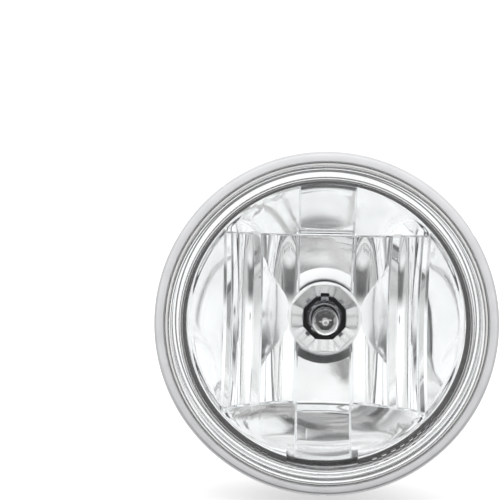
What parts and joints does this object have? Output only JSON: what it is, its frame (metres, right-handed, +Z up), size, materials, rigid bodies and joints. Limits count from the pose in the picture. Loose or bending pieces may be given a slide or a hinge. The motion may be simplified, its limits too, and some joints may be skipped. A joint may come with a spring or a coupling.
{
  "type": "fog light",
  "caption": "Round automotive fog light: clear drum lens in a satin ring, fluted chrome reflector, twist-lock bulb, and a tilting steel bracket with a screw adjuster.",
  "frame": {"origin": "middle of the bracket's rear face, on the optical axis", "axes": "+Z up, the light shines towards -Y, +Y out of the bracket's rear face into the vehicle"},
  "size_m": [0.11, 0.0756, 0.11],
  "materials": {
    "clear_glass": "clear moulded glass",
    "satin_metal": "satin anodised",
    "reflector_chrome": "vacuum metallised mirror",
    "black_plastic": "glass-filled moulding, fine texture",
    "black_rubber": "matt",
    "pale_silicone": "cured sealing silicone",
    "blackened_steel": "heat-blackened sheet",
    "zinc_steel": "bright zinc plate",
    "natural_nylon": "natural nylon",
    "tungsten": "drawn wire",
    "tinned_brass": "tin plate over brass"
  },
  "bodies": {
    "bracket": {"mounting_bracket": "zinc_steel", "weld_nut_left": "zinc_steel", "weld_nut_right": "zinc_steel", "pivot_bush_left": "natural_nylon", "pivot_bush_right": "natural_nylon", "adjuster_bush": "natural_nylon", "adjuster_spring": "zinc_steel"},
    "lamp": {"lens": "clear_glass", "lens_ring": "satin_metal", "ring_gasket": "pale_silicone", "lens_seal": "pale_silicone", "reflector": "reflector_chrome", "bulb_collar": "reflector_chrome", "housing": "black_plastic", "vent_cap": "black_rubber", "adjuster_nut": "natural_nylon", "pivot_screw_left": "zinc_steel", "pivot_screw_right": "zinc_steel"},
    "bulb": {"bulb_capsule": "clear_glass", "bulb_filament": "tungsten", "bulb_sleeve": "blackened_steel", "bulb_base": "black_plastic", "bulb_seal": "black_rubber", "terminal_left": "tinned_brass", "terminal_right": "tinned_brass"},
    "adjuster": {"adjuster_screw": "zinc_steel"}
  },
  "joints": [
    {"name": "lamp_tilt", "type": "hinge", "parent": "bracket", "child": "lamp", "pos_m": [0, -0.02594, 0], "axis": [1, 0, 0], "range_deg": [-3.5, 3.5], "deforming": ["adjuster_spring"]},
    {"name": "bulb_twist", "type": "hinge", "parent": "lamp", "child": "bulb", "pos_m": [0, 0, 0], "axis": [0, 1, 0], "range_deg": [0, 45]},
    {"name": "adjuster_turn", "type": "hinge", "parent": "bracket", "child": "adjuster", "pos_m": [0, 0, -0.04321], "axis": [0, 1, 0], "range_deg": [-480, 480]}
  ],
  "couplings": [
    {"joint": "adjuster_turn", "follows": "lamp_tilt", "ratio": -135.74}
  ]
}
